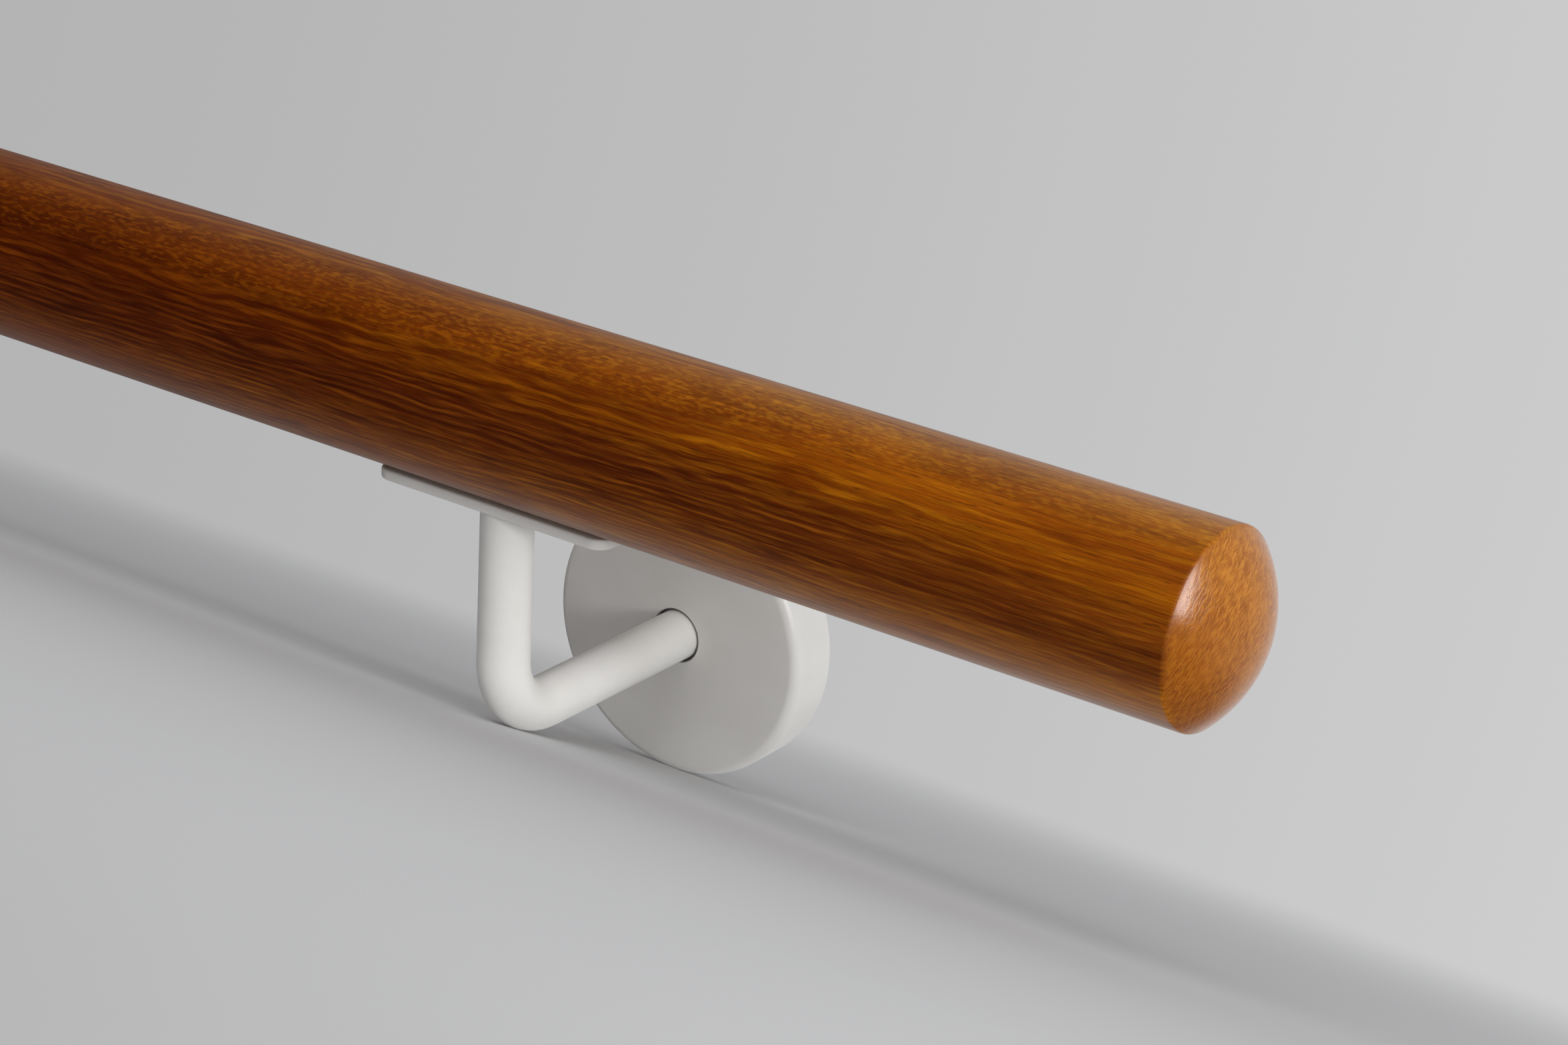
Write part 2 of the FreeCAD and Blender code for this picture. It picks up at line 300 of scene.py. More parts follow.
class HandlingMarks:
    """Node group of the small unevenness that every coated or plated surface here has."""

    NAME = "handling_marks"
    RIPPLE_SIZES = (1.0, 1.0, 1.0)
    SMEAR_SIZES = (34.0, 16.0, 16.0)
    SCRATCH_DEPTH = 0.3
    SCRATCHES = Mottle((7.0, 0.35, 0.5), 0.62, 0.74, distortion=0.4)

    def __init__(self) -> None:
        """Build the group once."""
        tree = bpy.data.node_groups.new(self.NAME, "ShaderNodeTree")
        for name, kind in (("Place", "NodeSocketVector"), ("Ripple size", "NodeSocketFloat"),
                           ("Scuff", "NodeSocketFloat")):
            tree.interface.new_socket(name, in_out="INPUT", socket_type=kind)
        for name in ("Gloss change", "Height"):
            tree.interface.new_socket(name, in_out="OUTPUT", socket_type="NodeSocketFloat")
        graph = Graph(tree)
        entry = graph.add("NodeGroupInput")
        leave = graph.add("NodeGroupOutput")
        place = entry.outputs["Place"]
        scaled = graph.divide(place, entry.outputs["Ripple size"])
        ripple = graph.noise(scaled, self.RIPPLE_SIZES, detail=3.0)
        smear = graph.noise(place, self.SMEAR_SIZES, detail=4.0, roughness=0.6)
        worn = graph.times(self.SCRATCHES.on(graph, place), entry.outputs["Scuff"])
        graph.feed(leave.inputs["Gloss change"], graph.plus(graph.less(smear, 0.5), worn))
        graph.feed(leave.inputs["Height"], graph.less(ripple, graph.times(worn, self.SCRATCH_DEPTH)))
        self.tree = tree

    def place_in(self, graph: Graph, place: Socket, ripple: float, scuff: float) -> Node:
        """Put the group into a material, with its ripples' size and its scuffs' strength."""
        return graph.fill("Group", place, ripple, scuff, node_tree=self.tree).node


class Finish:
    """Base of the finishes: makes a material with a place in millimetres and one shader."""

    def __init__(self, name: str, stance: Stance, turn: float = 0.0) -> None:
        """Start the material.

        Args:
            name: The material's name.
            stance: Where the hung rail's frame lies.
            turn: Extra turn of the pattern about the rail's axis.
        """
        self.material = bpy.data.materials.new(name)
        self.material.use_nodes = True
        self.graph = Graph(self.material.node_tree)
        self.shader = self.material.node_tree.nodes["Principled BSDF"]
        where = self.graph.add("TexCoord").outputs["Object"]
        rotation = (stance.tilt + turn, 0.0, 0.0)
        self.place = self.graph.fill("Mapping", where, stance.centre, rotation, (MM, MM, MM),
                                     vector_type="TEXTURE")

    def set(self, **values: SocketValue) -> None:
        """Feed the shader's sockets, named with underscores for spaces.

        Args:
            values: What each socket gets.
        """
        for name, value in values.items():
            self.graph.feed(self.shader.inputs[name.replace("_", " ")], value)

    def bump(self, height: Socket, depth: float) -> None:
        """Roughen the shader's normal.

        Args:
            height: The relief from 0 to 1.
            depth: The relief's depth in metres.
        """
        node = self.graph.add("Bump")
        for name, value in (("Height", height), ("Distance", depth), ("Strength", 1.0)):
            self.graph.feed(node.inputs[name], value)
        self.set(Normal=node.outputs[0])


@dataclass(frozen=True)
class Hardwood:
    """Satin varnished hardwood with ragged golden bands, seen along, across and on its ends.

    Lengths are in millimetres.  The timber's own axes run along the rail, level with the bands
    and through their layers.  Each zone of the side is a span of one of them, with a tint.  Most
    of these tints are painted light and shade, and the darker front and lighter top are also
    partly real heartwood and lighter outer wood.

    Attributes:
        band_turn: Turn of the bands about the rail's axis, in degrees from lying level.
        grain_slope: How far the grain drifts round the rail for each unit along it.
        grain_middle: Distance from the rail's middle at which that drift is nought.
        pith_distance: How far off the rings of the side turn.
        ring_spacing: Distance between the golden bands, across the rings.
        wander: Sizes and reach of the waves that the rings make.
        flat_drift: Drift over which rings that lie flat, as flecks, turn to bands.
        sap_and_light_level: Level over which the darker heartwood, with painted shade on the front,
            turns to lighter wood with painted light on the top.
        sap_and_light_slope: How far that level falls for each unit along the rail.
        lit_underside_layer: Layer over which the rail's lower side turns lighter with painted bounce
            light.
        top_light_level: Level over which the painted light and sheen of the upper side start.
        top_light_layer: Layer over which they start.
        underside_light_level: Level over which the painted bounce light of the lower front starts.
        ends_even_and_lit_along: Distance from the rail's middle over which its ends turn even in grain
            and lighter with painted light.
        shade_centre: Distance from the rail's middle at which the painted shade along the rail is
            deepest.
        light_falloff: Distance from there over which that painted shade gives way to painted light.
        pith: The middle of the end's rings, along and across the bands.
        end_start: Distance from the rail's middle at which the end grain starts.
        end_wave: Sizes and reach of the waves that its lines make.
        end_radius: Distance from the pith at which its lines have their true length.
        heart_and_shade_level: Level over which the end grain's darker heartwood and the painted shade
            on its lower side fade.
    """

    band_turn: float = 22.5
    grain_slope: float = -0.027
    grain_middle: float = 236.0
    pith_distance: float = 75.0
    ring_spacing: float = 1.5
    wander: tuple[tuple[Triple, float], ...] = (
        ((80.0, 16.0, 16.0), 4.5), ((22.0, 5.0, 3.5), 1.9), ((7.0, 2.0, 1.6), 0.5))
    flat_drift: Span = (4.0, 9.0)
    # Darker heartwood on the front and lighter wood on the top, deepened with painted shade on the
    # front and painted light on the top.
    sap_and_light_level: Span = (-8.0, 10.0)
    sap_and_light_slope: float = 0.04
    # Painted bounce light: the rail's lower side is lightened as if lit from below.
    lit_underside_layer: Span = (10.0, -5.0)
    # Painted light and sheen on the rail's top.
    top_light_level: Span = (-4.0, 8.0)
    top_light_layer: Span = (-4.0, 10.0)
    # Painted bounce light on the rail's lower front.
    underside_light_level: Span = (6.0, -8.0)
    # The ends: evener grain, and painted light.
    ends_even_and_lit_along: Span = (240.0, 385.0)
    # Painted shade in the middle of the rail's length, giving way to painted light further along.
    shade_centre: float = 80.0
    light_falloff: Span = (0.0, 330.0)
    pith: Span = (8.0, -19.3)
    end_start: float = 391.0
    end_wave: tuple[Triple, float] = ((9.0, 1.8, 1.8), 1.1)
    end_radius: float = 26.0
    # The end grain's darker heartwood and painted shade on its lower side.
    heart_and_shade_level: Span = (-17.0, 2.0)
    dark: Colour = (0.116, 0.0195, 0.0001)
    brown: Colour = (0.176, 0.0355, 0.0002)
    gold: Colour = (0.475, 0.1560, 0.0018)
    # The next two tints: partly real darker heartwood and lighter wood, partly painted shade on the
    # front and painted light on the top and lower side.
    heart_and_shade_tint: Colour = (0.52, 0.41, 0.36)
    sap_and_light_tint: Colour = (1.30, 1.36, 1.25)
    plain_tint: Colour = (1.0, 1.0, 1.0)
    # Painted light and sheen on the top; the blue share stands in for the sheen.
    top_light_tint: Colour = (1.22, 1.66, 4.50)
    # Painted bounce light on the lower front.
    underside_light_tint: Colour = (1.12, 1.38, 1.20)
    # Painted light at the ends.
    ends_light_tint: Colour = (1.20, 1.32, 1.90)
    # The next two tints: painted shade in the middle of the rail's length and painted light further
    # along.
    painted_shade_tint: Colour = (0.72, 0.56, 0.35)
    painted_light_tint: Colour = (1.10, 1.16, 1.28)
    pore: Colour = (0.060, 0.0150, 0.0010)
    end_brown: Colour = (0.250, 0.0690, 0.0030)
    end_gold: Colour = (0.470, 0.1790, 0.0190)
    # Partly darker heartwood, partly painted shade low on the end.
    end_heart_and_shade: Colour = (0.58, 0.38, 0.05)
    streaks: Mottle = Mottle((60.0, 7.0, 2.0), 0.30, 0.70)
    breaks: Mottle = Mottle((14.0, 1.7, 1.7), 0.34, 0.62, 0.10, 1.0, detail=1.0)
    ragged: Mottle = Mottle((14.0, 2.4, 0.60), 0.42, 0.68, detail=3.0, roughness=0.55)
    flecks: Mottle = Mottle((2.3, 0.8, 0.8), 0.43, 0.66, 0.12, 0.86, detail=1.0)
    glow: Mottle = Mottle((40.0, 6.0, 4.0), 0.34, 0.66, 0.55, 0.80)
    fibres: Mottle = Mottle((11.0, 0.24, 0.24), 0.3, 0.7, 0.74, 1.24)
    pores: Mottle = Mottle((5.0, 0.42, 0.42), 0.675, 0.74, detail=1.0)
    end_cloud: Mottle = Mottle((12.0, 8.0, 8.0), 0.3, 0.7, 0.08, 0.42, detail=3.0)
    end_lines: Mottle = Mottle((30.0, 1.7, 0.27), 0.36, 0.68, detail=1.0)

    def build(self, stance: Stance, marks: HandlingMarks) -> Material:
        """Make the material.

        Args:
            stance: Where the hung rail's frame lies.
            marks: The shared group of small unevenness.

        Returns:
            The finished material.
        """
        finish = Finish("varnished_hardwood", stance, math.radians(self.band_turn))
        graph, place = finish.graph, finish.place
        distance = graph.math("ABSOLUTE", graph.axes(place)[0])
        end = graph.ramp(distance, self.end_start - 0.4, self.end_start + 1.5)
        lines = self._draw_end_lines(graph, place)
        pores = self.pores.on(graph, place)
        colour = graph.mix(end, self._colour_side(graph, place), self._colour_end(graph, place, lines))
        colour = graph.mix(graph.times(pores, 0.6), colour, opaque(self.pore))
        handling = marks.place_in(graph, place, ripple=2.2, scuff=0.35)
        finish.set(
            Base_Color=colour,
            Roughness=graph.plus(graph.ramp(end, 0.0, 1.0, 0.36, 0.24),
                                 graph.times(handling.outputs["Gloss change"], 0.12)),
            Specular_IOR_Level=0.16,
            Coat_Weight=graph.ramp(end, 0.0, 1.0, 0.04, 0.17),
            Coat_Roughness=0.16,
        )
        relief = graph.less(graph.times(handling.outputs["Height"], 0.5), graph.times(pores, 0.6))
        finish.bump(graph.plus(relief, graph.times(lines, end, 0.5)), depth=0.00003)
        return finish.material

    def _colour_side(self, graph: Graph, place: Socket) -> Socket:
        """Colour the rail's side: streaks, golden bands, flecks and fibres, then painted light and
        shade.

        Args:
            graph: The material's tree.
            place: The place in the timber.

        Returns:
            The colour.
        """
        along, level, layer = graph.axes(place)
        slope = graph.times(graph.less(along, self.grain_middle), self.grain_slope)
        drift = graph.plus(level, slope)
        depth = self._count_rings(graph, place, drift, layer)
        grain = graph.join(along, drift, depth)
        ground = graph.mix(self.streaks.on(graph, grain), opaque(self.dark), opaque(self.brown))
        rings = graph.math("SINE", graph.times(depth, math.tau / self.ring_spacing))
        lines = graph.times(graph.ramp(rings, -0.3, 0.95), self.breaks.on(graph, place))
        bands = graph.plus(graph.times(lines, 0.60), graph.times(self.ragged.on(graph, grain), 0.54))
        flat = graph.ramp(graph.math("ABSOLUTE", drift), *self.flat_drift, 0.85, 0.0)
        shown = graph.plus(graph.times(bands, graph.less(1.0, flat)),
                           graph.times(self.flecks.on(graph, place), flat))
        # Painted bounce light on the lower side.
        lit_underside = graph.ramp(layer, *self.lit_underside_layer)
        # Partly real heartwood against lighter wood, partly painted shade on the front and painted
        # light on the top.
        sapwood_and_light = graph.ramp(graph.plus(level, graph.times(along, self.sap_and_light_slope)), *self.sap_and_light_level)
        sapwood_and_light = graph.math("MAXIMUM", sapwood_and_light, lit_underside)
        # Evener grain and painted light towards the ends.
        ends_even_and_lit = graph.ramp(graph.math("ABSOLUTE", along), *self.ends_even_and_lit_along)
        strength = graph.times(shown, self.glow.on(graph, place),
                               graph.ramp(sapwood_and_light, 0.0, 1.0, 1.0, 0.52),
                               graph.ramp(ends_even_and_lit, 0.0, 1.0, 1.0, 0.45))
        colour = graph.mix(strength, ground, opaque(self.gold))
        colour = graph.mix(1.0, colour, self.fibres.on(graph, place), "MULTIPLY")
        # Painted light and sheen on the top.
        top_light = graph.times(graph.ramp(level, *self.top_light_level), graph.ramp(layer, *self.top_light_layer))
        # Painted bounce light on the lower front.
        underside_light = graph.times(lit_underside, graph.ramp(level, *self.underside_light_level))
        # Painted shade in the middle of the rail's length that gives way to painted light further
        # along.
        lit_along = graph.ramp(graph.math("ABSOLUTE", graph.less(along, self.shade_centre)), *self.light_falloff)
        for share, low, high in ((sapwood_and_light, self.heart_and_shade_tint, self.sap_and_light_tint),
                                 (top_light, self.plain_tint, self.top_light_tint),
                                 (underside_light, self.plain_tint, self.underside_light_tint),
                                 (ends_even_and_lit, self.plain_tint, self.ends_light_tint),
                                 (lit_along, self.painted_shade_tint, self.painted_light_tint)):
            colour = graph.mix(1.0, colour, graph.mix(share, opaque(low), opaque(high)), "MULTIPLY")
        return colour

    def _count_rings(self, graph: Graph, place: Socket, drift: Socket, layer: Socket) -> Socket:
        """Measure the depth across the curved and wandering growth rings.

        Args:
            graph: The material's tree.
            place: The place in the timber.
            drift: Its distance along the rings.
            layer: Its distance across the bands.

        Returns:
            The depth in millimetres.
        """
        curve = graph.math("DIVIDE", graph.times(drift, drift), 2.0 * self.pith_distance)
        depth = graph.less(layer, curve)
        for sizes, reach in self.wander:
            wave = graph.less(graph.noise(place, sizes, detail=1.0), 0.5)
            depth = graph.plus(depth, graph.times(wave, reach))
        return depth

    def _draw_end_lines(self, graph: Graph, place: Socket) -> Socket:
        """Draw the fine wavy lines that run round the pith on the end grain.

        Args:
            graph: The material's tree.
            place: The place in the timber.

        Returns:
            Strength of the lines.
        """
        along, level, layer = graph.axes(place)
        sideways = graph.less(level, self.pith[0])
        outwards = graph.less(layer, self.pith[1])
        squares = graph.plus(graph.times(sideways, sideways), graph.times(outwards, outwards))
        sizes, reach = self.end_wave
        wave = graph.times(graph.less(graph.noise(place, sizes), 0.5), reach)
        radius = graph.plus(graph.math("SQRT", squares), wave)
        turn = graph.times(graph.math("ARCTAN2", sideways, outwards), self.end_radius)
        return self.end_lines.on(graph, graph.join(along, turn, radius))

    def _colour_end(self, graph: Graph, place: Socket, lines: Socket) -> Socket:
        """Colour the end grain: warm brown, fine golden lines, darker low down from heartwood and
        painted shade.

        Args:
            graph: The material's tree.
            place: The place in the timber.
            lines: Strength of the golden lines.

        Returns:
            The colour.
        """
        cloud = self.end_cloud.on(graph, place)
        ground = graph.mix(cloud, opaque(self.end_brown), opaque(self.end_gold))
        lined = graph.mix(graph.times(lines, 0.85), ground, opaque(self.end_gold))
        # Darker low on the end: partly heartwood, partly painted shade.
        heart_and_shade = graph.ramp(graph.axes(place)[1], *self.heart_and_shade_level, 0.6, 0.0)
        return graph.mix(heart_and_shade, lined, opaque(self.end_heart_and_shade), "MULTIPLY")


@dataclass(frozen=True)
class PowderCoat:
    """Satin white powder coat with a faint orange-peel ripple."""

    colour: Colour = (0.800, 0.790, 0.762)
    shade: Colour = (0.752, 0.738, 0.706)
    cloud: Mottle = Mottle((22.0, 18.0, 18.0), 0.3, 0.72, detail=4.0)

    def build(self, stance: Stance, marks: HandlingMarks) -> Material:
        """Make the material.

        Args:
            stance: Where the hung rail's frame lies.
            marks: The shared group of small unevenness.

        Returns:
            The finished material.
        """
        finish = Finish("white_powder_coat", stance)
        graph, place = finish.graph, finish.place
        handling = marks.place_in(graph, place, ripple=1.1, scuff=0.12)
        finish.set(
            Base_Color=graph.mix(self.cloud.on(graph, place), opaque(self.shade), opaque(self.colour)),
            Roughness=graph.plus(0.42, graph.times(handling.outputs["Gloss change"], 0.15)),
            Specular_IOR_Level=0.5,
        )
        finish.bump(handling.outputs["Height"], depth=0.000022)
        return finish.material


@dataclass(frozen=True)
class ZincPlate:
    """Bright zinc plating with the faint bloom that screws have."""

    colour: Colour = (0.70, 0.71, 0.72)
    bloom: Colour = (0.52, 0.53, 0.52)
    cloud: Mottle = Mottle((2.0, 2.0, 2.0), 0.35, 0.7, detail=4.0)

    def build(self, stance: Stance, marks: HandlingMarks) -> Material:
        """Make the material.

        Args:
            stance: Where the hung rail's frame lies.
            marks: The shared group of small unevenness.

        Returns:
            The finished material.
        """
        finish = Finish("zinc_plated_steel", stance)
        graph, place = finish.graph, finish.place
        handling = marks.place_in(graph, place, ripple=0.5, scuff=0.6)
        finish.set(
            Base_Color=graph.mix(self.cloud.on(graph, place), opaque(self.bloom), opaque(self.colour)),
            Metallic=1.0,
            Roughness=graph.plus(0.30, graph.times(handling.outputs["Gloss change"], 0.3)),
        )
        finish.bump(handling.outputs["Height"], depth=0.00001)
        return finish.material


def arc(centre: Span, radius: float, start: float, end: float, steps: int) -> list[Span]:
    """Return points along an arc of a flat outline.

    Args:
        centre: The arc's centre.
        radius: Its radius.
        start: Its first angle in degrees.
        end: Its last angle in degrees.
        steps: Number of chords.

    Returns:
        The points, both ends included.
    """
    turn = (end - start) / steps
    angles = [math.radians(start + turn * index) for index in range(steps + 1)]
    return [(centre[0] + radius * math.cos(a), centre[1] + radius * math.sin(a)) for a in angles]


def extrude_ring(mesh: BMesh, ring: list[BMEdge]) -> tuple[list[BMVert], list[BMEdge]]:
    """Extrude a ring of edges, without moving it yet.

    Args:
        mesh: The mesh that the ring is in.
        ring: The ring's edges.

    Returns:
        The new ring's vertices and edges.
    """
    grown = bmesh.ops.extrude_edge_only(mesh, edges=ring)["geom"]
    verts = [item for item in grown if isinstance(item, BMVert)]
    edges = [item for item in grown if isinstance(item, BMEdge)]
    return verts, [edge for edge in edges if set(edge.verts) <= set(verts)]


def carry_ring(mesh: BMesh, ring: list[BMEdge], height: float, radius: float) -> list[BMEdge]:
    """Extrude a level ring about the upright axis to a new height and radius.

    Args:
        mesh: The mesh that the ring is in.
        ring: The ring's edges.
        height: The new ring's height.
        radius: The new ring's radius.

    Returns:
        The new ring's edges.
    """
    verts, edges = extrude_ring(mesh, ring)
    for vert in verts:
        vert.co.xy = vert.co.xy.normalized() * radius
        vert.co.z = height
    return edges


@dataclass
class Model:
    """Base of the sub-assemblies: turns a bmesh into a finished, riding piece.

    Attributes:
        stance: Where the hung rail's frame lies.
        materials: The finish of each slot.
    """

    stance: Stance
    materials: dict[Slot, Material]

    def lathe(self, outline: Iterable[Span], axis: Vector, out: Vector, origin: Vector,
              facets: int) -> BMesh:
        """Spin an outline right round an axis.

        Args:
            outline: Points as distance along the axis and distance from it.
            axis: The axis's direction.
            out: A direction square to the axis, in which the outline is drawn.
            origin: A point on the axis.
            facets: Number of facets round.

        Returns:
            The closed mesh.
        """
        mesh = bmesh.new()
        points = [mesh.verts.new(origin + axis * along + out * radius) for along, radius in outline]
        edges = [mesh.edges.new(pair) for pair in zip(points, points[1:])]
        bmesh.ops.spin(mesh, geom=[*points, *edges], cent=origin, axis=axis, angle=math.tau,
                       steps=facets, use_merge=True, use_duplicate=False)
        bmesh.ops.remove_doubles(mesh, verts=mesh.verts, dist=1e-7)
        bmesh.ops.recalc_face_normals(mesh, faces=mesh.faces)
        return mesh

    def finish(self, mesh: BMesh, name: str, slot: Slot, replaced: str,
               along: float = 0.0, crease: float = 35.0) -> None:
        """Place a mesh in the floor's frame and make it a piece of the part.

        Args:
            mesh: The mesh in the hung frame.
            name: The piece's name.
            slot: The record's slot of its finish.
            replaced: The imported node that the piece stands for.
            along: Where along the rail the mesh's own origin lies.
            crease: Angle in degrees over which an edge stays sharp.
        """
        bmesh.ops.transform(mesh, matrix=self.stance.matrix(along), verts=mesh.verts)
        for face in mesh.faces:
            face.smooth = True
        for edge in mesh.edges:
            edge.smooth = edge.calc_face_angle(0.0) < math.radians(crease)
        data = bpy.data.meshes.new(name)
        mesh.to_mesh(data)
        mesh.free()
        data.materials.append(self.materials[slot])
        piece = bpy.data.objects.new(name, data)
        bpy.context.scene.collection.objects.link(piece)
        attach(piece, ROOT_BODY)
        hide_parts(replaced)
        LOG.info("%s: %d faces", name, len(data.polygons))


@dataclass
class Handrail(Model):
    """The turned round rail with a shallow dome and an eased edge at each end."""

    radius: float = 21.0 * MM
    length: float = 800.0 * MM
    dome_radius: float = 29.0 * MM
    edge_round: float = 1.2 * MM
    facets: int = 160
    bays: int = 48
    edge_steps: int = 6
    dome_steps: int = 22
    crease: float = 80.0

    def build(self) -> None:
        """Make the rail."""
        axis, out = Vector((1.0, 0.0, 0.0)), Vector((0.0, 0.0, 1.0))
        right = self.end_outline()
        left = [(-along, radius) for along, radius in reversed(right)]
        shoulder = right[0][0]
        places = [-shoulder + 2.0 * shoulder * step / self.bays for step in range(1, self.bays)]
        side = [(along, self.radius) for along in places]
        mesh = self.lathe([*left, *side, *right], axis, out, Vector(), self.facets)
        self.finish(mesh, "round_rail", Slot.WOOD, "handrail", crease=self.crease)

    def end_outline(self) -> list[Span]:
        """Draw the right end's outline from the shoulder over the eased edge to the tip.

        Returns:
            Points as distance along the rail and distance from its axis.
        """
        tip = self.length / 2.0
        dome_centre = tip - self.dome_radius
        inner = self.radius - self.edge_round
        reach = self.dome_radius - self.edge_round
        edge_angle = math.degrees(math.asin(inner / reach))
        edge_centre = dome_centre + reach * math.cos(math.radians(edge_angle))
        edge = arc((edge_centre, inner), self.edge_round, 90.0, edge_angle, self.edge_steps)
        dome = arc((dome_centre, 0.0), self.dome_radius, edge_angle, 0.0, self.dome_steps)
        return [*edge, *dome[1:-1], (tip, 0.0)]


@dataclass
class WallBracket(Model):
    """One wall bracket: plate, screws, bent bar and cover rosette, drawn about its middle plane."""

    side: Side
    rail_radius: float = 21.0 * MM
    bar_radius: float = 6.0 * MM
    bar_facets: int = 64
    bend_radius: float = 15.0 * MM
    bend_steps: int = 32
    weld_round: float = 0.5 * MM
    weld_steps: int = 5
    plate_length: float = 64.0 * MM
    plate_width: float = 15.0 * MM
    plate_thickness: float = 2.5 * MM
    plate_corner: float = 4.0 * MM
    plate_edge: float = 0.55 * MM
    screw_spacing: float = 44.0 * MM
    screw_facets: int = 48
    screw_head: float = 3.8 * MM
    screw_head_rim: float = 0.3 * MM
    screw_shank: float = 2.0 * MM
    screw_length: float = 25.0 * MM
    screw_tip: float = 5.0 * MM
    screw_point: float = 0.15 * MM
    screw_clearance: float = 0.05 * MM
    screw_crease: float = 25.0
    slot_width: float = 0.85 * MM
    slot_depth: float = 1.6 * MM
    slot_reach: float = 0.52
    slot_taper: float = 0.55
    rosette_radius: float = 35.0 * MM
    rosette_depth: float = 13.6 * MM
    rosette_wall: float = 1.3 * MM
    rosette_edge: float = 2.4 * MM
    rosette_gap: float = 0.7 * MM
    rosette_lip: float = 0.3 * MM
    rosette_facets: int = 160
    flange_thickness: float = 10.0 * MM
    socket_depth: float = 6.0 * MM

    @property
    def along(self) -> float:
        """Where along the rail the bracket stands."""
        return self.stance.bracket_x[self.side]

    @property
    def plate_underside(self) -> float:
        """How far the plate's underside lies below the rail's axis."""
        return self.rail_radius + self.plate_thickness

    @property
    def hole_centres(self) -> list[Vector]:
        """Middles of the plate's two screw holes."""
        return [Vector((sign * self.screw_spacing / 2.0, 0.0, 0.0)) for sign in (-1.0, 1.0)]

    def build(self) -> None:
        """Make the bracket's pieces."""
        self.make_plate()
        self.make_arm()
        self.make_rosette()
        outwards = math.copysign(self.screw_spacing / 2.0, self.along)
        self.make_screw("inner", -outwards)
        self.make_screw("outer", outwards)

    def dress_flange(self, nodes: dict[str, Object]) -> None:
        """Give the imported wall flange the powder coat.

        Args:
            nodes: The frame's nodes by name.
        """
        node = nodes[f"wall_flange_{self.side.value}"]
        node.data.materials.clear()
        node.data.materials.append(self.materials[Slot.COAT])
        LOG.info("%s: packed solid dressed", node.name)

    def add_coated(self, mesh: BMesh, name: str, node: str) -> None:
        """Finish a powder coated piece that stands for one of this side's nodes."""
        side = self.side.value
        self.finish(mesh, f"{name}.{side}", Slot.COAT, f"{node}_{side}", self.along)

    def make_plate(self) -> None:
        """Make the flat plate with rounded corners, eased edges and countersunk holes."""
        mesh = bmesh.new()
        bmesh.ops.create_grid(mesh, x_segments=1, y_segments=1, size=0.5)
        bmesh.ops.scale(mesh, vec=(self.plate_length, self.plate_width, 1.0), verts=mesh.verts)
        bmesh.ops.bevel(mesh, geom=mesh.verts[:], offset=self.plate_corner, offset_type="OFFSET",
                        segments=10, profile=0.5, affect="VERTICES", material=-1)
        bmesh.ops.delete(mesh, geom=mesh.faces[:], context="FACES_ONLY")
        wide = self.screw_head + self.screw_clearance
        for centre in self.hole_centres:
            bmesh.ops.create_circle(mesh, cap_ends=False, radius=wide, segments=self.screw_facets,
                                    matrix=Matrix.Translation(centre))
        bmesh.ops.triangle_fill(mesh, use_beauty=True, use_dissolve=False, edges=mesh.edges[:])
        grown = bmesh.ops.extrude_face_region(mesh, geom=mesh.faces[:])["geom"]
        top = [item for item in grown if isinstance(item, BMVert)]
        bmesh.ops.translate(mesh, vec=(0.0, 0.0, self.plate_thickness), verts=top)
        narrow = (self.screw_shank + self.screw_clearance) / wide
        for centre in self.hole_centres:
            ring = [vert for vert in top if (vert.co.xy - centre.xy).length < wide * 1.01]
            bmesh.ops.scale(mesh, vec=(narrow, narrow, 1.0), verts=ring,
                            space=Matrix.Translation(-centre))
        bmesh.ops.recalc_face_normals(mesh, faces=mesh.faces)
        outer = [edge for edge in mesh.edges if self.is_plate_rim(edge)]
        bmesh.ops.bevel(mesh, geom=outer, offset=self.plate_edge, offset_type="OFFSET", segments=4,
                        profile=0.5, affect="EDGES", material=-1)
        bmesh.ops.translate(mesh, vec=(0.0, 0.0, -self.plate_underside), verts=mesh.verts)
        self.add_coated(mesh, "support_plate", "support_plate")

    def is_plate_rim(self, edge: BMEdge) -> bool:
        """Tell whether an edge runs round the plate's outline, along its top or its underside.

        Args:
            edge: An edge of the plate.

        Returns:
            Whether it does.
        """
        first, second = (vert.co for vert in edge.verts)
        flat = abs(first.z - second.z) < 1e-7
        walls = [face for face in edge.link_faces if abs(face.normal.z) < 0.3]
        return flat and len(walls) == 1 and self.outside_holes(first) and self.outside_holes(second)

    def outside_holes(self, point: Vector) -> bool:
        """Tell whether a point of the plate lies clear of its screw holes."""
        wide = self.screw_head + 2.0 * self.screw_clearance
        return all((point.xy - centre.xy).length > wide for centre in self.hole_centres)

